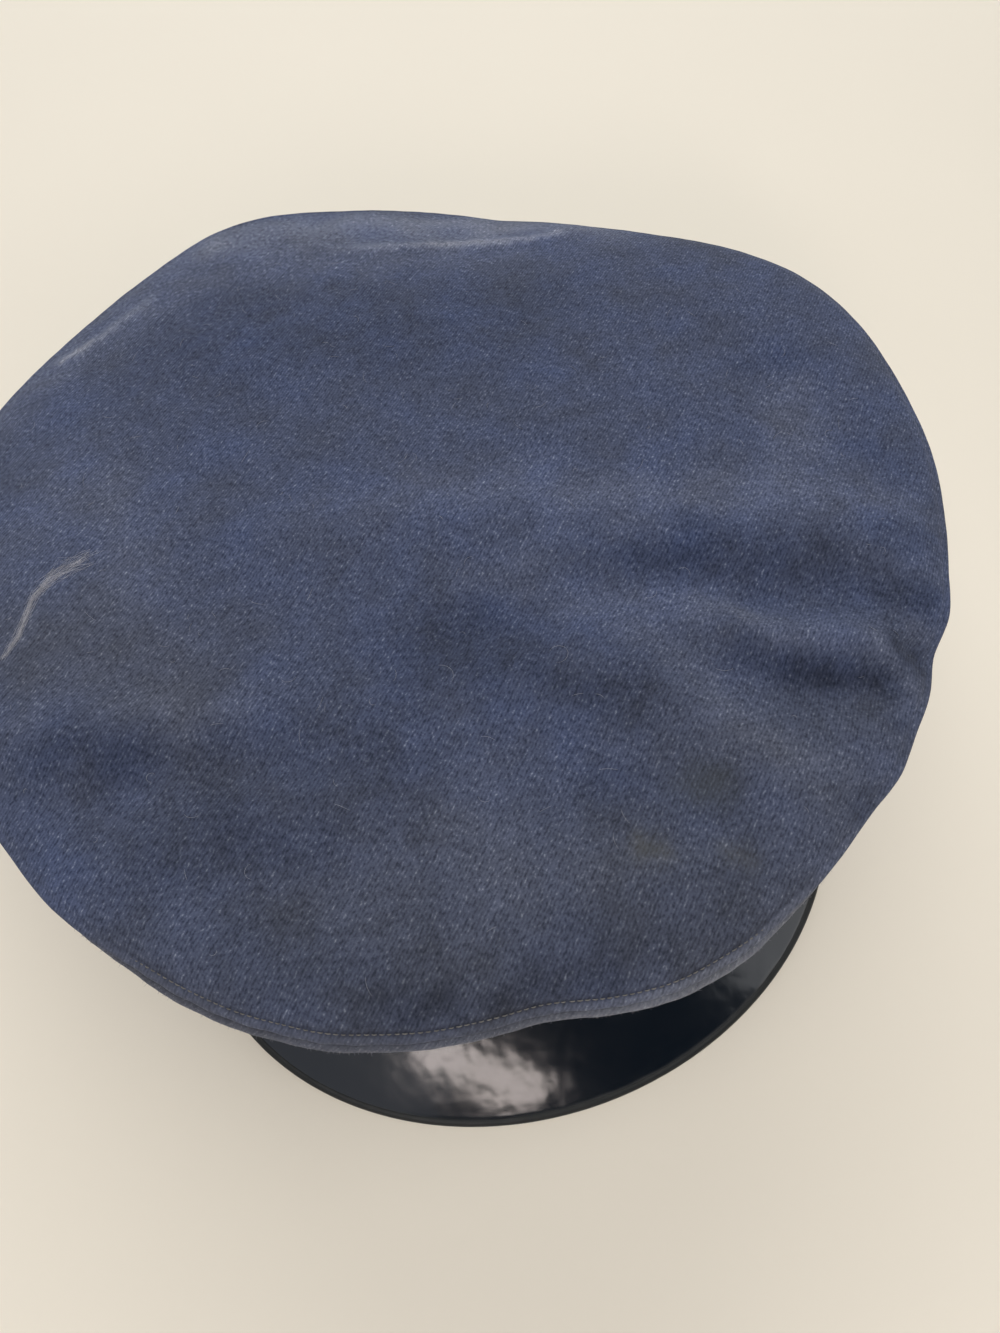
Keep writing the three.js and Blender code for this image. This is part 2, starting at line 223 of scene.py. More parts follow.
# Painted highlights on slopes of folds and crests that face the light, and painted shade on those that face
# away, where the strength is below 0; also the pale line under the wisp
PAINTED_SHADING_AND_FADING = (
    # Folds of the left side: painted shade and highlights on their slopes
    Mark(((24, -30), (35, -32), (61, -44), (87, -58), (98, -68)), 8, (-0.1, -0.22, -0.28, -0.25, -0.3)),
    Mark(((20, -42), (38, -48), (54, -56), (63, -71), (78, -75)), 5, (0.1, 0.28, 0.48, 0.4, 0.22)),
    Mark(((53, -70), (64, -79), (80, -86)), 5, (-0.42, -0.8, -0.66)),
    Mark(
        ((22, -45), (33, -57), (38, -73), (43, -87), (50, -97), (57, -104)),
        5,
        (0.1, 0.3, 0.26, 0.3, 0.34, 0.3),
    ),
    Mark(
        ((-34, 4), (-2, 0), (22, -7), (48, -22), (77, -30), (104, -42)),
        8,
        (0.1, 0.24, 0.32, 0.38, 0.28, 0.25),
    ),
    Mark(((102, -2), (96, -17), (84, -28)), 9, (0.3, 0.3, 0.12)),
    Mark(((4, -29), (20, -29), (38, -29)), 7, (0.16, 0.24, 0.16)),
    Mark(((30, -35), (44, -38), (55, -43)), 6, (-0.08, -0.24, -0.2)),
    Mark(((82, -76), (84, -84), (86, -92)), 1.6, (0.3, 0.5, 0.4)),
    Mark(((88, -78), (91, -85)), 3.5, (-0.4, -0.45)),
    # Along the left rim: painted shade and highlights beside its creases and puckers
    Mark(((94, 12), (106, 9), (113, 8)), 5, (-0.2, -0.25, -0.15)),
    Mark(((113, -25), (110, -37)), 6, (-0.2, -0.2)),
    Mark(((98, -49), (104, -53), (111, -56)), 3.5, (-0.12, -0.24, -0.3)),
    Mark(((91, -57), (96, -60), (104, -64)), 3.5, (0.12, 0.26, 0.26)),
    Mark(((91, -67), (97, -70), (102, -72)), 3.5, (-0.14, -0.26, -0.3)),
    Mark(((86, -76), (95, -78)), 3, (0.2, 0.24)),
    Mark(((74, -90), (80, -94)), 3, (0.2, 0.24)),
    Mark(((76, -91), (79, -97)), 3, (-0.2, -0.35)),
    Mark(((57, -105), (61, -111)), 3.5, (-0.2, -0.3)),
    # Front: painted shade where the top turns down towards the front, and painted highlights on its folds
    Mark(((-18, -44), (-3, -42), (6, -62), (25, -69)), 11, (-0.26, -0.38, -0.28, -0.34)),
    Mark(((10, -89), (18, -91)), 6, (-0.25, -0.25)),
    Mark(((-17, -82), (-16, -94), (-15, -103)), 8, (0.18, 0.22, 0.14)),
    Mark(((3, -106), (20, -108), (33, -109)), 5, (0.2, 0.25, 0.15)),
    Mark(((-4, -116), (34, -108)), 12, (-0.22, -0.28)),
    Mark(((-66, -100), (-52, -112), (-36, -114)), 11, (-0.22, -0.32, -0.22)),
    Mark(((-17, -115), (-7, -120), (8, -125)), 6, (-0.2, -0.26, -0.2)),
    Mark(((-44, -120), (-6, -127)), 5, (-0.4, -0.4)),
    # Right side: painted shade and highlights on its folds, the pale line under the wisp, and painted light
    # further back
    Mark(((-79, -71), (-65, -73), (-52, -76)), 11, (-0.22, -0.36, -0.26)),
    Mark(((-45, -57), (-34, -65), (-27, -74)), 11, (-0.18, -0.28, -0.22)),
    Mark(((-99, -37), (-82, -46), (-64, -52), (-49, -60)), 8, (-0.46, -0.52, -0.32, -0.05)),
    Mark(((-107, -32), (-85, -35), (-65, -43), (-53, -45)), 6, (0.28, 0.28, 0.28, 0.12)),
    Mark(WISP, 1.4, (0.3, 0.4, 0.4, 0.35, 0.2)),
    Mark(((-90, 37), (-78, 29), (-74, 3)), 12, (0.12, 0.26, 0.24)),
    Mark(((-110, 16), (-86, 44)), 30, (0.18, 0.16)),
    # Back: painted shade on the middle of the top, and painted highlights on the crests and on the strip
    # that turns down behind them
    Mark(((-45, 74), (-8, 66), (40, 54)), 20, (-0.18, -0.22, -0.18)),
    Mark(((-64, 92), (-42, 106), (-15, 102), (19, 93), (55, 83)), 8, (0.3, 0.34, 0.34, 0.34, 0.28)),
    Mark(BACK_CREST, 1.9, (0.3, 1.0, 1.2, 1.3, 1.3, 0.9)),
    Mark(SIDE_CREST, 1.9, (1.5, 1.2, 0.5)),
    Mark(((-30, 122), (16, 115), (58, 102), (90, 84)), 9, (0.8, 1.1, 1.2, 0.5)),
    Mark(((-104, 76), (-70, 110), (-40, 124)), 10, (0.4, 0.5, 0.5)),
)
DUSTED = (
    Mark(((-60, -112), (10, -118), (60, -100)), 34, (0.6, 0.7, 0.3)),
    Mark(((-95, -12), (-72, -28)), 18, (0.6, 0.6)),
    Mark(((-70, -52), (-52, -64)), 14, (0.4, 0.4)),
)
STAINED = (Mark(((30, -95), (33, -98)), 5, (0.4, 0.4)),)
SOILED = (
    Mark(((14, -104), (16, -106)), 3, (0.4, 0.4)),
    Mark(((30, -111), (32, -113)), 2.5, (0.25, 0.25)),
)
MARKS = {"faded_and_painted_shading": PAINTED_SHADING_AND_FADING, "dusted": DUSTED, "stained": STAINED, "soiled": SOILED}
# The edges of a mark stray by this share of its reach, over bumps of this many times its reach
MARK_STRAY = 0.2
MARK_BUMPS = 2.2

# Single pale hairs on the top: where one starts, its first heading, how far it bends, and its length
Hair = namedtuple("Hair", "start heading_deg bend_deg reach")
HAIRS = (
    Hair((11, -56), 60, -260, 10),
    Hair((-12, -55), 40, 120, 7),
)

# Side panels: where each starts, and its height when it is laid flat, with the tuck
Quarter = namedtuple("Quarter", "node from_deg flat_height")
QUARTERS = (
    Quarter("quarter_front_left", 0, 64),
    Quarter("quarter_back_left", 90, 53),
    Quarter("quarter_back_right", 180, 53),
    Quarter("quarter_front_right", 270, 64),
)
PANELS = len(QUARTERS)

# The solids are centred over their footprint. The cap's own middle is that of the visor from side to side,
# and lies half the band's length behind the band's front.
visor_low, visor_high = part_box("visor")
band_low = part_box("head_band")[0]
middle_x = (visor_low.x + visor_high.x) / 2 / MM
middle_y = band_low.y / MM + (HEAD_HALF_LENGTH + BAND_WALL) * math.cos(LEAN)
CAP_OFFSET = np.array([middle_x, middle_y, 0])


def linear(hex_colour):
    """Linear red, green, blue and alpha of an sRGB colour written as six hex digits."""
    parts = [int(hex_colour[i : i + 2], 16) / 255 for i in (0, 2, 4)]
    return [c / 12.92 if c <= 0.04045 else ((c + 0.055) / 1.055) ** 2.4 for c in parts] + [1.0]


def add_node(tree, kind, output, inputs=None, **settings):
    """One output of a new node with these settings. Its inputs are values or other nodes' outputs.
    Outputs and inputs go by name or number."""
    node = tree.nodes.new("ShaderNode" + kind)
    for name, value in settings.items():
        setattr(node, name, value)
    for key, value in (inputs or {}).items():
        if isinstance(value, bpy.types.NodeSocket):
            tree.links.new(value, node.inputs[key])
        else:
            node.inputs[key].default_value = value
    return node.outputs[output]


def bell(distance, reach):
    return np.exp(-((distance / reach) ** 2))


def turn_between(a, b):
    return (b - a + 540) % 360 - 180


def all_round(count):
    return np.linspace(0, 360, count, endpoint=False)[None]


def waves_round(deg, waves):
    return sum(wave.height * np.sin(np.radians(wave.count * deg + wave.phase_deg)) for wave in waves)


def near_run(x, y, run, values):
    """The distance from each place to the nearest one on a bent run, and the value there."""
    nearest = np.full(np.shape(x), np.inf)
    found = np.zeros(np.shape(x))
    for start, end, first, last in zip(run, run[1:], values, values[1:]):
        way = np.subtract(end, start)
        along = np.clip(((x - start[0]) * way[0] + (y - start[1]) * way[1]) / (way @ way), 0, 1)
        aside = np.hypot(x - start[0] - along * way[0], y - start[1] - along * way[1])
        found = np.where(aside < nearest, first + (last - first) * along, found)
        nearest = np.minimum(nearest, aside)
    return nearest, found


def unevenness(x, y, bumps):
    """A smooth random surface, summed from waves of about the size of its bumps."""
    dice = np.random.default_rng(bumps.seed)
    waves = 28
    lengths = bumps.size * dice.uniform(0.6, 1.7, waves)
    headings = dice.uniform(0, np.pi, waves)
    phases = dice.uniform(0, 2 * np.pi, waves)
    total = 0
    for length, heading, phase in zip(lengths, headings, phases):
        total = total + np.sin((x * np.cos(heading) + y * np.sin(heading)) * 2 * np.pi / length + phase)
    return bumps.height * (total / math.sqrt(waves / 2))


def marked(x, y, marks):
    """How strong marks of one kind are at each place."""
    total = 0
    for mark in marks:
        size = MARK_BUMPS * mark.reach
        stray = MARK_STRAY * mark.reach
        stray_x = unevenness(x, y, Bumps(size, stray, 41))
        stray_y = unevenness(x, y, Bumps(size, stray, 42))
        aside, strength = near_run(x + stray_x, y + stray_y, mark.run, mark.strength)
        total = total + strength * bell(aside, mark.reach)
    return total


def places(x, y, z):
    return np.stack(np.broadcast_arrays(x, y, z), axis=-1)


def length_of(vectors):
    return np.linalg.norm(vectors, axis=-1, keepdims=True)


def unit(vectors):
    return vectors / length_of(vectors)


def distance_along(path):
    """How far along a path each of its points lies."""
    return np.concatenate([[0], np.cumsum(length_of(np.diff(path, axis=0)))])


def band_point(deg, out, up):
    """A place on the leaning band, out from its inside and up from its lower edge."""
    angle = np.radians(deg)
    back = -(HEAD_HALF_LENGTH + out) * np.cos(angle)
    ahead = HEAD_HALF_LENGTH + BAND_WALL - back
    height = ahead * math.sin(LEAN) + up * math.cos(LEAN) - REAR_SETTLE
    return places(
        (HEAD_HALF_WIDTH + out) * np.sin(angle),
        back * math.cos(LEAN) + up * math.sin(LEAN),
        np.maximum(height, 0),
    )


def rolled(deg):
    """How far the top has rolled over the piping, from 0 at the front to 1 at the sides and back."""
    turn = turn_between(0, deg)
    past = np.maximum(turn - ROLL_FROM_DEG[0], ROLL_FROM_DEG[1] - turn) / ROLL_OVER_DEG
    part = np.clip(past, 0, 1)
    return part * part * (3 - 2 * part)


def bleached(deg):
    """How far the rim below the stitches has paled: most of all in front."""
    return bell(turn_between(BLEACH_DEG, deg), BLEACH_REACH_DEG)


def rim_shift(deg):
    """How far the slack rim's waves and ripples carry the seam outwards and upwards."""
    out, up = 0, 0
    for wave in RIM_WAVES:
        share = bell(turn_between(wave.at_deg, deg), wave.reach_deg)
        out = out + wave.out * share
        up = up + wave.up * share
    loose = 1 - ROLL_SMOOTHS * rolled(deg)
    for ripple in RIM_RIPPLES:
        turn = np.radians(ripple.count * deg + ripple.phase_deg)
        out = out + ripple.out * loose * np.sin(turn)
        up = up + ripple.up * loose * np.cos(turn)
    return out, up


def rim_plane(y):
    return RIM_HEIGHT - RIM_RISE * y / RIM_RADIUS


def rim_point(deg, out, up):
    """A place by the seam of the rim."""
    angle = np.radians(deg)
    shift_out, shift_up = rim_shift(deg)
    radius = RIM_RADIUS + shift_out + out
    y = -radius * np.cos(angle)
    return places(radius * np.sin(angle), y, rim_plane(y) + shift_up + up)


def top_edge(deg):
    return rim_point(deg, ROLL_OUT * rolled(deg) - SEAM_INSET, SEAM_RISE)


def fold_height(x, y, folds):
    height = 0
    for fold in folds:
        aside, rise = near_run(x, y, fold.run, fold.rise)
        height = height + rise * bell(aside, fold.breadth)
    return height


def top_base(deg, share):
    """The smooth upper face of the top, from its middle (share 0) to its turned edge (share 1)."""
    edge = top_edge(deg)
    x = edge[..., 0] * share
    y = edge[..., 1] * share
    inside = np.hypot(edge[..., 0], edge[..., 1]) * (1 - share)
    slack = BACK_SLACK_REACH * bell(turn_between(BACK_SLACK_DEG, deg), BACK_SLACK_REACH_DEG)
    shoulder = SHOULDER_RISE * (1 - np.exp(-inside / (SHOULDER_REACH + slack)))
    dome = DOME_RISE * (1 - share**2)
    folds = FOLD_DEPTH * fold_height(x, y, FOLDS) * (1 - bell(inside, FOLD_FADE))
    lift = rim_shift(deg)[1] * share**2
    return places(x, y, rim_plane(y) + lift + SEAM_RISE + shoulder + dome + folds)


def top_point(deg, share):
    """The same face with creases, slack between the folds, and the puckers and groove of the topstitch."""
    point = top_base(deg, share)
    x, y, z = np.moveaxis(point, -1, 0)
    inside = RIM_RADIUS * (1 - share)
    slack = sum(unevenness(x, y, bumps) for bumps in TOP_SLACK)
    creases = fold_height(x, y, CREASES)
    gathers = np.sin(np.radians(deg * PUCKERS) + unevenness(x, y, PUCKER_STRAY))
    pucker = PUCKER_HEIGHT * (1 - ROLL_EASES * rolled(deg)) * gathers * bell(inside, PUCKER_REACH)
    groove = STITCH_SINK * bell(inside - STITCH_INSET, STITCH_GROOVE)
    settled = 1 - bell(inside, CREASE_FADE)
    return places(x, y, z + (slack + creases) * settled + pucker - groove)


def on_top(x, y, lift):
    """Places on the top at these plan places, lifted a little."""
    deg = np.degrees(np.arctan2(x, -y))
    edge = top_edge(deg)
    share = np.hypot(x, y) / np.hypot(edge[..., 0], edge[..., 1])
    return top_point(deg, np.minimum(share, 0.99)) + places(0, 0, lift)


def side_point(deg, share):
    """The outer face of the side panels, from inside the band (share -1 to 0) up to the rim (share 1)."""
    foot = band_point(deg, -GAP, BAND_HEIGHT + GAP)
    head = rim_point(deg, -SEAM_INSET, -PANEL_RISE)
    chord = head - foot
    level = places(chord[..., 0], chord[..., 1], 0 * chord[..., 2])
    reach = length_of(level)
    hang = level / reach * chord[..., 2:] - UP * reach
    up = np.clip(share, 0, 1)[..., None]
    drape = SIDE_SAG + waves_round(deg, SIDE_DRAPE)
    from_seam = turn_between(0, deg * PANELS) / PANELS
    ditch = DITCH * bell(from_seam, DITCH_REACH_DEG) * np.clip(share * 6, 0, 1)
    sag = (drape - ditch)[..., None] * np.sin(np.pi * up)
    sag = sag - ditch[..., None] * DITCH_AT_RIM * up * (1 - up**8)
    hung = foot + chord * up + unit(hang) * sag
    tucked = band_point(deg, -GAP, BAND_HEIGHT + GAP + np.minimum(share, 0) * TUCK)
    return np.where(share[..., None] < 0, tucked, hung)


VISOR_END_Y = float(band_point(VISOR_SEAT_DEG, BAND_WALL, 0)[1])
VISOR_EDGE_END = math.acos((VISOR_CENTRE_Y - VISOR_END_Y) / VISOR_HALF_DEPTH)


def visor_base(deg, share):
    """The upper face of the visor, from its seat under the band (share 0) to its edge (share 1)."""
    seat = band_point(deg, BAND_WALL - VISOR_SEAT_IN, -SEAM_GAP)
    angle = deg / VISOR_SEAT_DEG * VISOR_EDGE_END
    y = VISOR_CENTRE_Y - VISOR_HALF_DEPTH * np.cos(angle)
    tip_y = VISOR_CENTRE_Y - VISOR_HALF_DEPTH
    z = VISOR_TIP_Z + (VISOR_END_Z - VISOR_TIP_Z) * (y - tip_y) / (VISOR_END_Y - tip_y)
    edge = places(VISOR_HALF_WIDTH * np.sin(angle), y, z)
    camber = VISOR_CAMBER * length_of(edge - seat)[..., 0]
    point = seat + (edge - seat) * share[..., None]
    return point + places(0, 0, 4 * camber * share * (1 - share))


def visor_point(deg, share):
    """The same face with the shallow dents of old lacquered leather, which end at its seat and its edge."""
    point = visor_base(deg, share)
    dents = unevenness(point[..., 0], point[..., 1], VISOR_DENTS)
    return point + places(0, 0, dents * (1 - share**6) * np.minimum(8 * share, 1))


def welt_point(deg, turn, size):
    """Places round the flattened piping: turn goes round its section and size scales it."""
    out = WELT_OUT - ROLL_WELT_IN * rolled(deg)
    return rim_point(deg, out + size * WELT_BREADTH * np.cos(turn), size * WELT_HEIGHT * np.sin(turn))


def off_surface(surface, deg, share, distance):
    """Places at a distance from a surface: outwards on the sides, downwards on top and visor."""
    deg, share = np.broadcast_arrays(deg, share)
    around = surface(deg + NUDGE, share) - surface(deg - NUDGE, share)
    across = surface(deg, share + NUDGE) - surface(deg, share - NUDGE)
    return surface(deg, share) + unit(np.cross(around, across)) * distance


def turned_edge(rows, facing, steps=5):
    """Rows that roll over from the last row of one face to the last row of the facing one."""
    middle = (rows[-1] + facing[-1]) / 2
    half = rows[-1] - middle
    outwards = unit(rows[-1] - rows[-2]) * length_of(half)
    turns = np.linspace(0, np.pi, steps + 2)[1:-1]
    return np.stack([middle + half * np.cos(t) + outwards * np.sin(t) for t in turns])


def wall_section(front, back):
    """Rows all the way round a wall: over its front, round one edge, down its back and round the other."""
    far_edge = turned_edge(front, back)
    near_edge = turned_edge(back[::-1], front[::-1])
    return np.concatenate([front, far_edge, back[::-1], near_edge])


def flat_place(rows, ring=False):
    """Where each point lies on the flat cloth, measured round the cap along its row and across the rows."""
    round_again = np.concatenate([rows, rows[:, :1]], axis=1) if ring else rows
    loop = np.concatenate([round_again, round_again[:1]])
    steps_round = np.linalg.norm(np.diff(loop, axis=1), axis=-1)
    along = np.concatenate([np.zeros((len(loop), 1)), np.cumsum(steps_round, axis=1)], axis=1)
    along = along - along[:, -1:] / 2
    if ring:
        along = np.broadcast_to(along.mean(axis=0), along.shape)
    steps_across = np.linalg.norm(np.diff(loop, axis=0), axis=-1).mean(axis=1)
    across = np.concatenate([[0], np.cumsum(steps_across)])
    return np.stack([along, np.broadcast_to(across[:, None], along.shape)], axis=-1)


def add_piece(name, points, faces, material, corners=None, marks=None):
    """A smooth mesh of the cap. Corners are places on the flat cloth, one for each corner of each face."""
    mesh = bpy.data.meshes.new(name)
    mesh.from_pydata(((points + CAP_OFFSET) * MM).tolist(), [], faces)
    mesh.polygons.foreach_set("use_smooth", np.ones(len(faces), bool))
    if corners is not None:
        layer = mesh.uv_layers.new(name="flat_cloth")
        layer.uv.foreach_set("vector", (corners * MM).astype(np.float32).ravel())
    for mark, values in (marks or {}).items():
        layer = mesh.attributes.new(mark, "FLOAT", "POINT")
        layer.data.foreach_set("value", values.astype(np.float32).ravel())
    mesh.materials.append(material)
    mesh.update()
    piece = bpy.data.objects.new(name, mesh)
    scene.collection.objects.link(piece)
    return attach(piece, "root")


def sweep(name, rows, flat, material, ring=False, hubs=None, marks=None):
    """A skin over rows of points. The rows meet again unless two hubs close the first and the last one.
    The columns meet again in a ring, and otherwise both ends are closed."""
    count, columns = rows.shape[:2]
    width = flat.shape[1]
    row_steps = np.arange(count if hubs is None else count - 1)
    column_steps = np.arange(columns if ring else columns - 1)
    row, column = (grid.ravel() for grid in np.meshgrid(row_steps, column_steps, indexing="ij"))
    turn = ((row, column), (row, column + 1), (row + 1, column + 1), (row + 1, column))
    quads = np.stack([(r % count) * columns + c % columns for r, c in turn], axis=-1)
    points = rows.reshape(-1, 3)
    flats = flat.reshape(-1, 2)
    faces = quads.tolist()
    spots = np.stack([r * width + c for r, c in turn], axis=-1).tolist()
    if hubs is not None:
        hub = len(points)
        hub_spot = len(flats)
        points = np.concatenate([points, hubs])
        flats = np.concatenate([flats, hubs[:, :2]])
        last = (count - 1) * columns
        last_spot = (count - 1) * width
        for c in range(columns):
            after = (c + 1) % columns
            faces += [[hub, after, c], [hub + 1, last + c, last + after]]
            spots += [[hub_spot, c + 1, c], [hub_spot + 1, last_spot + c, last_spot + c + 1]]
        marks = {k: np.concatenate([v.ravel(), v[0, :1], v[-1, :1]]) for k, v in (marks or {}).items()}
    elif not ring:
        for end, order in ((0, range(count)), (columns - 1, range(count)[::-1])):
            faces.append([r * columns + end for r in order])
            spots.append([r * width + end for r in order])
    a, b, c, d = (points[quads[:, k]] for k in range(4))
    volume = np.einsum("ij,ij->", a, np.cross(b, c)) + np.einsum("ij,ij->", a, np.cross(c, d))
    if volume < 0:
        faces = [face[::-1] for face in faces]
        spots = [spot[::-1] for spot in spots]
    corners = flats[np.concatenate(spots)]
    return add_piece(name, points, faces, material, corners, marks)


def add_strands(name, lines, radius, facing, material, sides=3):
    """Thin strands along lines of points, an array of lines, with the radius at each point of a line.
    No strand may run along the way that it faces, which is one way for all or one for each."""
    count, stations = lines.shape[:2]
    facing = np.broadcast_to(facing, (count, 3))
    tangent = unit(np.gradient(lines, axis=1))
    aside = unit(np.cross(tangent, facing[:, None, :]))
    above = np.cross(aside, tangent)
    turns = np.arange(sides) / sides * 2 * np.pi
    ring = aside[:, :, None] * np.cos(turns)[:, None] + above[:, :, None] * np.sin(turns)[:, None]
    points = lines[:, :, None] + ring * radius[:, None, None]
    index = np.arange(count * stations * sides).reshape(count, stations, sides)
    following = np.roll(index, -1, axis=2)
    walls = np.stack([index[:, :-1], index[:, 1:], following[:, 1:], following[:, :-1]], axis=-1)
    faces = walls.reshape(-1, 4).tolist() + index[:, 0].tolist() + index[:, -1, ::-1].tolist()
    return add_piece(name, points.reshape(-1, 3), faces, material)


def sew(name, path, facing, material):
    """A row of stitches along a path, each bent over the cloth with both ends sunk into it."""
    along = distance_along(path)
    count = int(along[-1] // STITCH_PITCH)
    dice = np.random.default_rng(31)
    starts = np.arange(count) * along[-1] / count + dice.normal(0, STITCH_STRAY[0], count)
    lengths = STITCH_LENGTH + dice.normal(0, STITCH_STRAY[1], count)
    shares = np.linspace(0, 1, 6)
    spots = starts[:, None] + shares * lengths[:, None]
    lines = np.stack([np.interp(spots, along, path[:, k]) for k in range(3)], axis=-1)
    normals = np.stack([np.interp(spots, along, facing[:, k]) for k in range(3)], axis=-1)
    bend = np.sin(np.pi * shares)
    lines = lines + normals * (THREAD_RADIUS * (2.2 * bend - 1.1))[:, None]
    return add_strands(name, lines, THREAD_RADIUS * (0.7 + 0.3 * bend), normals[:, 2], material, sides=6)


# The wave texture draws one band over this length at scale 1
WAVE_TURN = 2 * math.pi / 20
# Mix node sockets
FACTOR = 0
VALUE_A = 2
VALUE_B = 3
MIXED_VALUE = 0
COLOUR_A = 6
COLOUR_B = 7
MIXED = 2

TWILL_PITCH = 0.8  # the diagonal ribs, drawn a little coarser than woven so that they show
TWILL_DEG = 45
RIB_SHARE = 0.12
FLECK = 1.0  # heathered fibres in the yarn, drawn coarser than spun so that they show
SLUB = 4.5  # thicker and thinner lengths of yarn
CLOUD = 20  # uneven dye and fading
CLOUD_SHARE = 1.3
WEAVE_RELIEF = 0.11
FLECK_RELIEF = 0.09
SHADING_AND_FADE_PALES = 0.8  # what painted light or a faded place adds to the cloth's lightness, or painted shade takes from it
SHADING_AND_FADE_WASHES = -0.3  # and to its richness
DUST_GREYS = 0.6  # what dust leaves of the cloth's richness
DUST_DULLS = 0.74  # and of its lightness
LACQUER_SWELL = 0.2
LACQUER_PORE = 0.9
LACQUER_GRAIN = 0.006
THREAD_TONE = 2.5  # changes of tone along a thread
PAINT_CLOUD = 111

# What discolours the cloth, and the colour that it leaves
STAINS = {"rubbed": "5d5e66", "stained": "34362f", "soiled": "504f46"}


def new_material(name):
    material = bpy.data.materials.new(name)
    material.use_nodes = True
    tree = material.node_tree
    tree.nodes.clear()
    return material, tree


def close_material(tree, inputs):
    surface = tree.nodes.new("ShaderNodeOutputMaterial").inputs["Surface"]
    tree.links.new(add_node(tree, "BsdfPrincipled", "BSDF", inputs), surface)


def weave_yarn(tree, flat):
    """The flecks of heathered yarn, and the same with the faint ribs of the weave."""
    turn = (0, 0, math.radians(90 - TWILL_DEG))
    ribs_way = add_node(tree, "Mapping", "Vector", {"Vector": flat, "Rotation": turn})
    bands = WAVE_TURN / (TWILL_PITCH * MM)
    ribs = add_node(
        tree,
        "TexWave",
        "Fac",
        {"Vector": ribs_way, "Scale": bands, "Distortion": 4.0, "Detail": 3.0, "Detail Scale": 1.6},
        bands_direction="X",
    )
    drawn_out = add_node(tree, "Mapping", "Vector", {"Vector": ribs_way, "Scale": (1, 0.8, 1)})
    flecks = add_node(
        tree,
        "TexNoise",
        "Fac",
        {"Vector": drawn_out, "Scale": 1 / (FLECK * MM), "Detail": 4.0, "Roughness": 0.65},
    )
    weave = add_node(tree, "Mix", MIXED_VALUE, {FACTOR: RIB_SHARE, VALUE_A: flecks, VALUE_B: ribs})
    return flecks, weave


def dye_yarn(tree, weave, dark, middle, pale):
    """Dark yarn in the hollows of the weave, and pale fibres on its tips."""
    colour = linear(dark)
    for paler, low, high in ((middle, 0.28, 0.58), (pale, 0.56, 0.82)):
        heights = {"Value": weave, "From Min": low, "From Max": high}
        share = add_node(tree, "MapRange", "Result", heights, interpolation_type="SMOOTHSTEP")
        colours = {FACTOR: share, COLOUR_A: colour, COLOUR_B: linear(paler)}
        colour = add_node(tree, "Mix", MIXED, colours, data_type="RGBA")
    return colour


def wear_cloth(tree, flat, heather):
    """The cloth's colour after uneven dye, painted light and shade, bleaching, dust and stains."""
    slubs, clouds = (
        add_node(tree, "TexNoise", "Fac", {"Vector": flat, "Scale": 1 / (size * MM), "Detail": 3.0})
        for size in (SLUB, CLOUD)
    )
    dyed = add_node(
        tree, "Math", "Value", {0: clouds, 1: CLOUD_SHARE, 2: slubs}, operation="MULTIPLY_ADD"
    )
    evenness = add_node(
        tree,
        "MapRange",
        "Result",
        {"Value": dyed, "From Min": 0.7, "From Max": 1.6, "To Min": 0.78, "To Max": 1.48},
    )
    richness = add_node(
        tree,
        "MapRange",
        "Result",
        {"Value": clouds, "From Min": 0.3, "From Max": 0.7, "To Min": 0.9, "To Max": 1.1},
    )
    # One attribute carries painted light and shade together with bleaching
    faded_and_painted_shading = add_node(tree, "Attribute", "Fac", attribute_name="faded_and_painted_shading")
    lightness, washed = (
        add_node(tree, "Math", "Value", {0: faded_and_painted_shading, 1: change, 2: unfaded}, operation="MULTIPLY_ADD")
        for change, unfaded in ((SHADING_AND_FADE_PALES, evenness), (SHADING_AND_FADE_WASHES, richness))
    )
    cloth = add_node(
        tree, "HueSaturation", "Color", {"Value": lightness, "Saturation": washed, "Color": heather}
    )
    dusted = add_node(tree, "Attribute", "Fac", attribute_name="dusted")
    greyed, dulled = (
        add_node(tree, "MapRange", "Result", {"Value": dusted, "To Min": 1, "To Max": left})
        for left in (DUST_GREYS, DUST_DULLS)
    )
    colour = add_node(
        tree, "HueSaturation", "Color", {"Value": dulled, "Saturation": greyed, "Color": cloth}
    )
    for mark, stain in STAINS.items():
        strength = add_node(tree, "Attribute", "Fac", attribute_name=mark)
        colours = {FACTOR: strength, COLOUR_A: colour, COLOUR_B: linear(stain)}
        colour = add_node(tree, "Mix", MIXED, colours, data_type="RGBA")
    return colour


def make_twill(name, dark, middle, pale):
    """Wool and cotton twill woven from heathered yarn, worn and washed: pale and dark flecks along faint
    diagonal ribs, a dusty bloom at glancing angles, bleached, dusty, rubbed and stained places, and painted
    light and shade."""
    material, tree = new_material(name)
    flat = add_node(tree, "UVMap", "UV", uv_map="flat_cloth")
    flecks, weave = weave_yarn(tree, flat)
    heather = dye_yarn(tree, weave, dark, middle, pale)
    weave_bump = add_node(
        tree, "Bump", "Normal", {"Height": weave, "Distance": WEAVE_RELIEF * MM, "Strength": 0.8}
    )
    fibre_bump = add_node(
        tree,
        "Bump",
        "Normal",
        {"Height": flecks, "Distance": FLECK_RELIEF * MM, "Strength": 0.8, "Normal": weave_bump},
    )
    close_material(
        tree,
        {
            "Base Color": wear_cloth(tree, flat, heather),
            "Roughness": 0.92,
            "IOR": 1.53,
            "Specular IOR Level": 0.2,
            "Sheen Weight": 0.12,
            "Sheen Roughness": 0.5,
            "Sheen Tint": linear("aab0bd"),
            "Normal": fibre_bump,
        },
    )
    return material


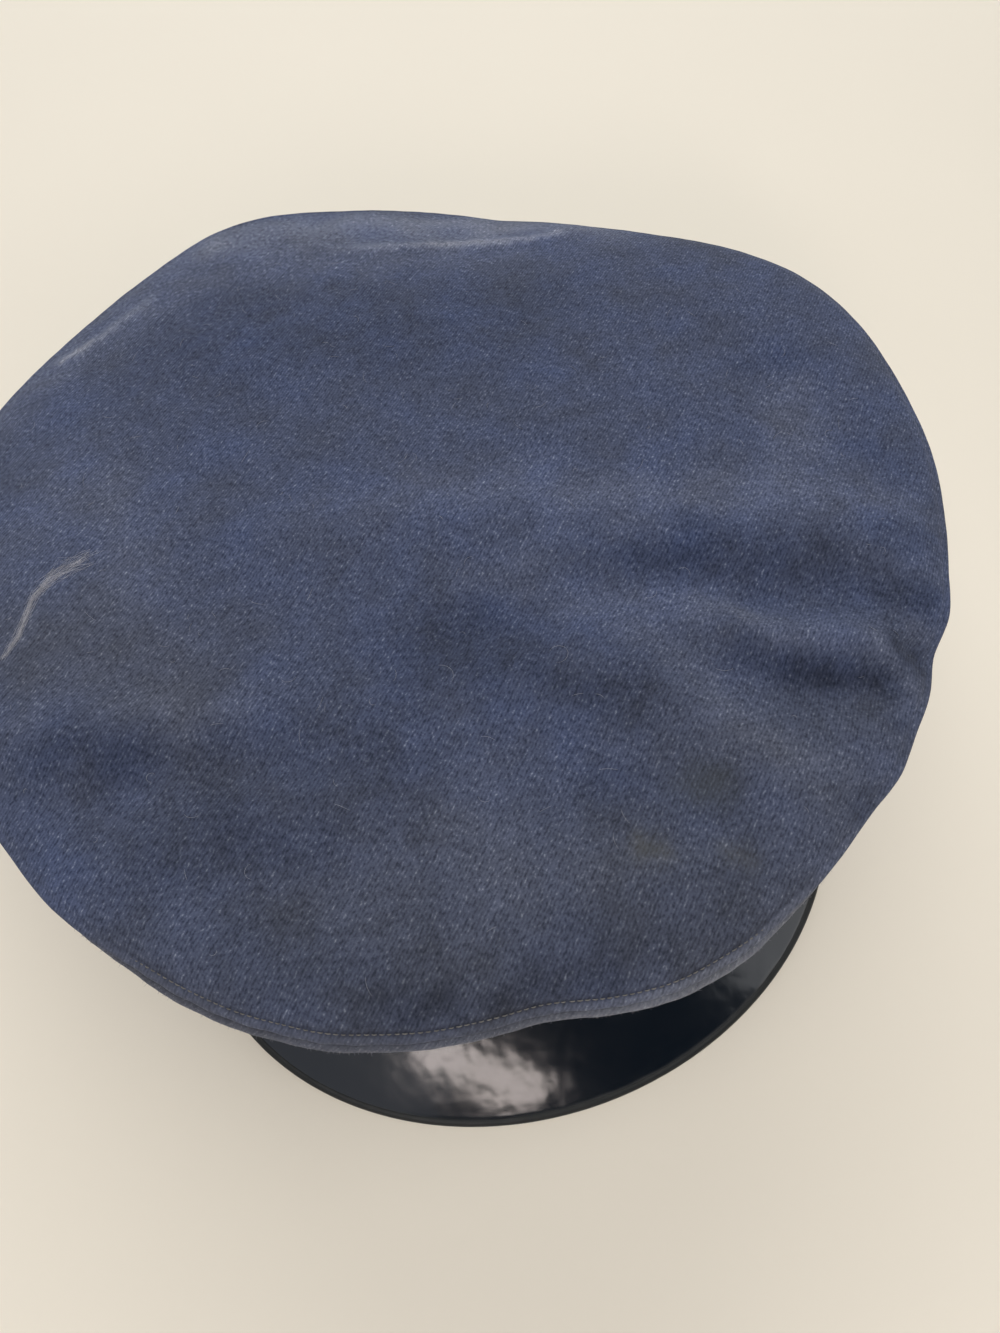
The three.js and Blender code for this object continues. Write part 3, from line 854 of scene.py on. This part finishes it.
def make_lacquer(name, black, skin, roughness, coat):
    """Leather with a poured black lacquer, dulled by wear: a soft mirror over a faintly uneven skin."""
    material, tree = new_material(name)
    place = add_node(tree, "TexCoord", "Object")
    swell = add_node(
        tree,
        "TexNoise",
        "Fac",
        {"Vector": place, "Scale": 1 / (skin * MM), "Detail": 1.5, "Roughness": 0.45},
    )
    grain = add_node(
        tree, "TexNoise", "Fac", {"Vector": place, "Scale": 1 / (LACQUER_PORE * MM), "Detail": 2.0}
    )
    dull = add_node(
        tree,
        "MapRange",
        "Result",
        {"Value": swell, "From Min": 0.35, "From Max": 0.7, "To Min": roughness, "To Max": roughness * 1.6},
    )
    swell_bump = add_node(
        tree, "Bump", "Normal", {"Height": swell, "Distance": LACQUER_SWELL * MM, "Strength": 1.0}
    )
    grain_bump = add_node(
        tree,
        "Bump",
        "Normal",
        {"Height": grain, "Distance": LACQUER_GRAIN * MM, "Strength": 1.0, "Normal": swell_bump},
    )
    close_material(
        tree,
        {
            "Base Color": linear(black),
            "Roughness": dull,
            "IOR": 1.5,
            "Specular IOR Level": 0.12,
            "Coat Weight": coat,
            "Coat Roughness": roughness,
            "Coat IOR": 1.5,
            "Coat Normal": swell_bump,
            "Normal": grain_bump,
        },
    )
    return material


def make_toned(name, colour, size, detail, tones, finish):
    """A matt material whose lightness changes a little over patches of this size."""
    material, tree = new_material(name)
    place = add_node(tree, "TexCoord", "Object")
    patches = add_node(
        tree, "TexNoise", "Fac", {"Vector": place, "Scale": 1 / (size * MM), "Detail": detail}
    )
    shade = add_node(tree, "MapRange", "Result", {"Value": patches, **tones})
    varied = add_node(tree, "HueSaturation", "Color", {"Value": shade, "Color": linear(colour)})
    close_material(tree, {"Base Color": varied, **finish})
    return material


def make_thread(name, colour):
    """Spun thread or loose fibre: matt, with small changes of tone along it."""
    tones = {"From Min": 0.3, "From Max": 0.7, "To Min": 0.75, "To Max": 1.2}
    finish = {"Roughness": 0.85, "IOR": 1.53, "Specular IOR Level": 0.3}
    return make_toned(name, colour, THREAD_TONE, 2.0, tones, finish)


def make_table_paint(name, colour):
    """Pale paint rolled on a table top: matt, with a faint cloudiness."""
    tones = {"To Min": 0.985, "To Max": 1.015}
    finish = {"Roughness": 0.6, "IOR": 1.5, "Specular IOR Level": 0.2}
    return make_toned(name, colour, PAINT_CLOUD, 3.0, tones, finish)


TWILL = make_twill("heathered_wool_cotton_twill", dark="22293c", middle="41485e", pale="7c8393")
WELT_TWILL = make_twill("bias_cut_twill_piping", dark="383a44", middle="484a53", pale="6d6f76")
PATENT = make_lacquer("lacquered_patent_leather", "040a12", skin=7, roughness=0.16, coat=1.0)
BINDING = make_lacquer("lacquered_leather_binding", "191b1c", skin=4, roughness=0.42, coat=0.3)
THREAD = make_thread("spun_cotton_thread", "646260")
FIBRE = make_thread("loose_wool_fibre", "8d8b93")
LINT = make_thread("pale_lint", "8f9097")
WISP_FIBRE = make_thread("pulled_cotton_fibre", "a7a7af")


def make_crown_top():
    deg = all_round(480)
    # Rows lie closer together towards the rim
    upper_shares = np.concatenate([np.linspace(0.012, 0.93, 70), np.linspace(0.935, 1, 28)])[:, None]
    lower_shares = np.concatenate([np.linspace(0.012, 0.9, 20), np.linspace(0.93, 1, 5)])[:, None]
    upper = top_point(deg, upper_shares)
    lower = top_base(deg, lower_shares) - places(0, 0, CLOTH)
    rows = np.concatenate([upper, turned_edge(upper, lower), lower[::-1]])
    hubs = np.concatenate([upper[:1].mean(axis=1), lower[:1].mean(axis=1)])
    x, y = rows[..., 0], rows[..., 1]
    # Both faces share one flat cloth, measured from the middle of the top outwards
    steps = np.concatenate([np.hypot(x, y)[:1], np.linalg.norm(np.diff(rows, axis=0), axis=-1)])
    travelled = np.cumsum(steps, axis=0)
    reach = np.minimum(travelled, travelled[-1] + np.hypot(x, y)[-1] - travelled)
    reach = np.concatenate([reach, reach[:, :1]], axis=1)
    angle = np.radians(np.append(deg, 360))
    flat = np.stack([reach * np.sin(angle), -reach * np.cos(angle)], axis=-1)
    # Painted light and shade of the top, with its fading, dust and stains
    marks = {kind: marked(x, y, kind_marks) for kind, kind_marks in MARKS.items()}
    over = rolled(deg)
    inside = np.clip(RIM_RADIUS - np.hypot(x, y) + rim_shift(deg)[0], 0, None)
    below_stitches = np.clip(2 * (STITCH_INSET - inside), 0, 1)
    # Painted shade on the inner side of the stitches' groove, in front where the top has not rolled over
    groove_shade = bell(inside - STITCH_INSET - GROOVE_SHADE_INSET, GROOVE_SHADE_REACH)
    marks["faded_and_painted_shading"] = marks["faded_and_painted_shading"] + STRIP_FADE * bleached(deg) * below_stitches
    marks["faded_and_painted_shading"] = marks["faded_and_painted_shading"] - GROOVE_SHADE * (1 - over) * groove_shade
    marks["rubbed"] = EDGE_RUB * bell(inside, EDGE_RUB_REACH) * (1 - ROLL_SMOOTHS * over)
    piece = sweep("crown_top_cloth", rows, flat, TWILL, ring=True, hubs=hubs, marks=marks)
    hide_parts("crown_top")
    return piece


def make_topstitch():
    """Stitches on the upper face in front, and under the roll where the top rolls over the piping."""
    deg = np.linspace(0, 360, 1441)
    share = np.full_like(deg, 1 - STITCH_INSET / RIM_RADIUS)
    over = rolled(deg)[:, None]
    edge = top_edge(deg)
    outwards = unit(edge * [1, 1, 0])
    upwards = top_base(deg, share) - off_surface(top_base, deg, share, 1.0)
    under = outwards - UP
    side = edge + under * (CLOTH / 2 / math.sqrt(2) - THREAD_RADIUS) - UP * CLOTH / 2
    path = top_point(deg, share) * (1 - over) + side * over
    facing = upwards * (1 - over) + under * over
    return sew("rim_topstitch", path, unit(facing), THREAD)


def make_edge_welt():
    deg = all_round(720)
    turn = np.linspace(0, 2 * np.pi, 16, endpoint=False)[:, None]
    rows = welt_point(deg, turn, 1 + waves_round(deg, WELT_PINCHES))
    # Its seam allowance lies inside, against the underside of the top
    out = WELT_OUT + (ROLL_OUT - ROLL_WELT_IN) * rolled(deg) + WELT_BREADTH * np.cos(turn) + SEAM_INSET
    underside = top_base(deg, 1 + np.minimum(out, 0) / RIM_RADIUS)[..., 2] - CLOTH - WELT_CLEAR
    allowance = (turn > np.pi / 2 + NUDGE) & (turn < np.pi - NUDGE) & (out < 0)
    rows[..., 2] = np.where(allowance, np.maximum(rows[..., 2], underside), rows[..., 2])
    # The piping's outer edge: worn pale, with a painted highlight where it catches the light
    worn = WELT_WEAR_AND_HIGHLIGHT * bell(np.sin(turn / 2), WELT_HIGHLIGHT_REACH)
    marks = {"faded_and_painted_shading": WELT_FADE * bleached(deg) + worn}
    flat = flat_place(rows, ring=True)
    piece = sweep("edge_welt_cloth", rows, flat, WELT_TWILL, ring=True, marks=marks)
    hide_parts("edge_welt")
    return piece


def make_quarter(quarter):
    seam_deg = math.degrees(SEAM_GAP / 2 / HEAD_HALF_WIDTH)
    end_deg = quarter.from_deg + 360 / PANELS
    deg = np.linspace(quarter.from_deg + seam_deg, end_deg - seam_deg, 121)[None]
    shares = np.concatenate([[-0.85, -0.5, -0.2], np.linspace(0.01, 0.985, 34)])[:, None]
    deg, shares = np.broadcast_arrays(deg, shares)
    rows = wall_section(side_point(deg, shares), off_surface(side_point, deg, shares, -CLOTH))
    piece = sweep(quarter.node + "_cloth", rows, flat_place(rows), TWILL)
    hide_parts(quarter.node)
    return piece


def make_head_band():
    deg = all_round(360)
    up = np.linspace(BAND_WALL / 2, BAND_HEIGHT - BAND_WALL / 2, 22)[:, None]
    seam = BAND_SEAM * bell(turn_between(180, deg), BAND_SEAM_REACH_DEG)
    slack = waves_round(deg, BAND_SLACK) * np.sin(np.pi * up / BAND_HEIGHT)
    outer = band_point(deg, BAND_WALL - BAND_COVER_IN + slack - seam, up)
    inner = band_point(deg, 0, up)
    rows = wall_section(outer, inner)
    rows[..., 2] = np.maximum(rows[..., 2], 0)
    piece = sweep("head_band_cloth", rows, flat_place(rows, ring=True), TWILL, ring=True)
    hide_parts("head_band")
    return piece


def make_visor():
    deg = np.linspace(-VISOR_SEAT_DEG, VISOR_SEAT_DEG, 241)[None]
    shares = np.linspace(0.004, 0.982, 46)[:, None]
    deg, shares = np.broadcast_arrays(deg, shares)
    rows = wall_section(visor_point(deg, shares), off_surface(visor_base, deg, shares, VISOR_WALL))
    piece = sweep("visor_leather", rows, flat_place(rows), PATENT)
    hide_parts("visor")
    return piece


def make_visor_binding():
    deg = np.linspace(-VISOR_SEAT_DEG, VISOR_SEAT_DEG, 321)
    one = np.ones_like(deg)
    outwards = unit(visor_base(deg, one) - visor_base(deg, one - NUDGE))
    half = VISOR_WALL / 2
    turns = np.linspace(BINDING_WRAP, -BINDING_WRAP, 25)
    section = [(BINDING_OUTSIDE, t) for t in turns] + [(BINDING_INSIDE, t) for t in turns[::-1]]
    rows = np.stack(
        [
            off_surface(visor_base, deg, one, half - (half + face.rise) * np.sin(t))
            + outwards * (face.out * np.cos(t) - face.back)
            for face, t in section
        ]
    )
    rows[..., 2] = np.maximum(rows[..., 2], 0)
    piece = sweep("visor_binding_leather", rows, flat_place(rows), BINDING)
    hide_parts("visor_binding")
    return piece


def make_edge_fuzz(count=1500, radius=0.035):
    """Short fibres worn loose from the piping, most of them in front."""
    dice = np.random.default_rng(51)
    in_front = 2 * count // 3
    deg = np.concatenate([dice.uniform(-60, 40, in_front), dice.uniform(40, 300, count - in_front)])
    turn = dice.uniform(-1.2, 1.3, count)
    root = welt_point(deg, turn, 1.0)
    tip = welt_point(deg, turn, 2.0)
    lean = dice.normal(0, 1.2, (count, 3))
    heading = unit(tip - root + lean)
    curl = dice.normal(0, 0.15, (count, 3))
    reach = dice.uniform(0.1, 0.45, (count, 1))
    stations = np.linspace(0, 1, 4)
    lines = np.stack([root + heading * reach * s + curl * s**2 for s in stations], axis=1)
    facing = dice.normal(0, 1, (count, 3))
    return add_strands("edge_fuzz", lines, radius * (1 - 0.6 * stations), facing, FIBRE)


LYING = (0.1, 0.2, 1.0)  # the facing of fibres that lie on the top
LINT_REACH = 122


def make_crown_lint(count=150, radius=0.032):
    """Curled fibres lying on the top, the last of them long hairs."""
    dice = np.random.default_rng(61)
    around = dice.uniform(0, 2 * np.pi, count)
    away = LINT_REACH * np.sqrt(dice.uniform(0, 1, count))
    starts, headings, bends, reaches = zip(*HAIRS)
    start_x = np.append(away * np.sin(around), [x for x, y in starts])
    start_y = np.append(away * np.cos(around), [y for x, y in starts])
    heading = np.append(dice.uniform(0, 2 * np.pi, count), np.radians(headings))
    bend = np.append(dice.normal(0, 1.6, count), np.radians(bends))
    reach = np.append(dice.uniform(1.2, 4.5, count), reaches)
    stations = np.linspace(0, 1, 11)[:, None]
    ways = heading + bend * stations
    step = reach / (len(stations) - 1)
    x = start_x + np.cumsum(step * np.cos(ways), axis=0)
    y = start_y + np.cumsum(step * np.sin(ways), axis=0)
    lines = np.moveaxis(on_top(x, y, 0.12 * (1 + np.sin(np.pi * stations))), 0, 1)
    taper = 1 - 0.5 * np.linspace(-1, 1, 11) ** 2
    return add_strands("crown_lint", lines, radius * taper, LYING, LINT)


def make_wisp(count=140, radius=0.026):
    """Fibres pulled loose in one curved wisp, thicker at its upper end."""
    dice = np.random.default_rng(71)
    run = np.array(WISP)
    along = distance_along(run)
    middle = along[-1] * dice.uniform(0, 1, count) ** 0.8
    half = dice.uniform(2, 7, count)
    stations = np.linspace(-1, 1, 9)[:, None]
    spots = np.clip(middle + half * stations, 0, along[-1])
    spread = 0.7 + 1.5 * (spots / along[-1]) ** 2
    plan = []
    for k in range(2):
        stray = dice.normal(0, 0.6, count) + 0.5 * dice.normal(0, 1, count) * stations
        plan.append(np.interp(spots, along, run[:, k]) + spread * stray)
    lines = np.moveaxis(on_top(*plan, 0.15 + 0.2 * dice.uniform(0, 1, count)), 0, 1)
    taper = 1 - 0.6 * stations[:, 0] ** 2
    return add_strands("crown_wisp", lines, radius * taper, LYING, WISP_FIBRE)


crown = make_crown_top()
topstitch = make_topstitch()
welt = make_edge_welt()
quarters = [make_quarter(quarter) for quarter in QUARTERS]
band = make_head_band()
visor = make_visor()
binding = make_visor_binding()
fuzz = make_edge_fuzz()
lint = make_crown_lint()
wisp = make_wisp()

# Table
TABLE_SIZE = 2.6
bpy.ops.mesh.primitive_plane_add(size=TABLE_SIZE, location=(0, 0, 0))
table = bpy.context.object
table.name = "table"
table.data.materials.append(make_table_paint("rolled_matt_paint", "e9e1d2"))


def add_light(name, watts, size, place, aim, colour, roll_deg=0):
    light = bpy.data.lights.new(name, "AREA")
    light.shape = "RECTANGLE"
    light.size, light.size_y = size
    light.energy = watts
    light.color = linear(colour)[:3]
    lamp = bpy.data.objects.new(name, light)
    lamp.location = place
    facing = (Vector(aim) - Vector(place)).to_track_quat("-Z", "Y")
    lamp.rotation_euler = (facing @ Quaternion((0, 0, 1), math.radians(roll_deg))).to_euler()
    scene.collection.objects.link(lamp)


VISOR_MIDDLE = (0, -0.12, 0.01)


def toward(azimuth, elevation, distance):
    """A place in front of the visor, seen from it: azimuth from -Y towards +X."""
    turn = math.radians(azimuth)
    rise = distance * math.sin(math.radians(elevation))
    level = distance * math.cos(math.radians(elevation))
    return level * math.sin(turn), VISOR_MIDDLE[1] - level * math.cos(turn), rise


# Daylight from behind and above, and what the visor mirrors: a window and two cards
add_light("back_window", 18.4, (1.8, 1.0), (0.25, 1.35, 1.15), (0, 0, 0.05), "ffffff")
add_light("ceiling_panel", 20.5, (2.0, 1.6), (0, -0.42, 1.7), (0, -0.2, 0), "fffdf8")
add_light("front_window", 2.0, (0.5, 0.13), toward(-20.5, 39.5, 1.0), VISOR_MIDDLE, "fff2ec", -34)
add_light("left_card", 1.0, (0.9, 0.6), toward(-54, 34, 1.1), VISOR_MIDDLE, "f4f6ff")
add_light("right_card", 1.1, (0.55, 0.5), toward(54, 27, 1.1), VISOR_MIDDLE, "fbfcff")

# Pale walls near the floor, and a dim blue-grey room above them
world = bpy.data.worlds.new("studio")
world.use_nodes = True
room = world.node_tree
sight = add_node(room, "TexCoord", "Generated")
rise = add_node(room, "SeparateXYZ", "Z", {"Vector": sight})
walls_end = {"Value": rise, "From Min": 0.22, "From Max": 0.43}
above_walls = add_node(room, "MapRange", "Result", walls_end, interpolation_type="SMOOTHSTEP")
wall_colours = {FACTOR: above_walls, COLOUR_A: linear("cfcdc8"), COLOUR_B: linear("3a434f")}
wall_colour = add_node(room, "Mix", MIXED, wall_colours, data_type="RGBA")
room.links.new(wall_colour, room.nodes["Background"].inputs["Color"])
scene.world = world
scene.view_settings.view_transform = "Standard"

# The photograph's view: a phone held above the visor
CAMERA_PLACE = np.array([-30.2, -139.6, 310.15])
CAMERA_AIM = np.array([2.5, -47.38, 85.54])
CAMERA_LENS = 27.03
camera = bpy.data.objects.new("photo_view", bpy.data.cameras.new("photo_view"))
camera.data.lens = CAMERA_LENS
camera.data.clip_start = 0.01
camera.location = Vector((CAMERA_PLACE + CAP_OFFSET) * MM)
camera.rotation_euler = Vector((CAMERA_AIM - CAMERA_PLACE).tolist()).to_track_quat("-Z", "Y").to_euler()
scene.collection.objects.link(camera)
scene.camera = camera
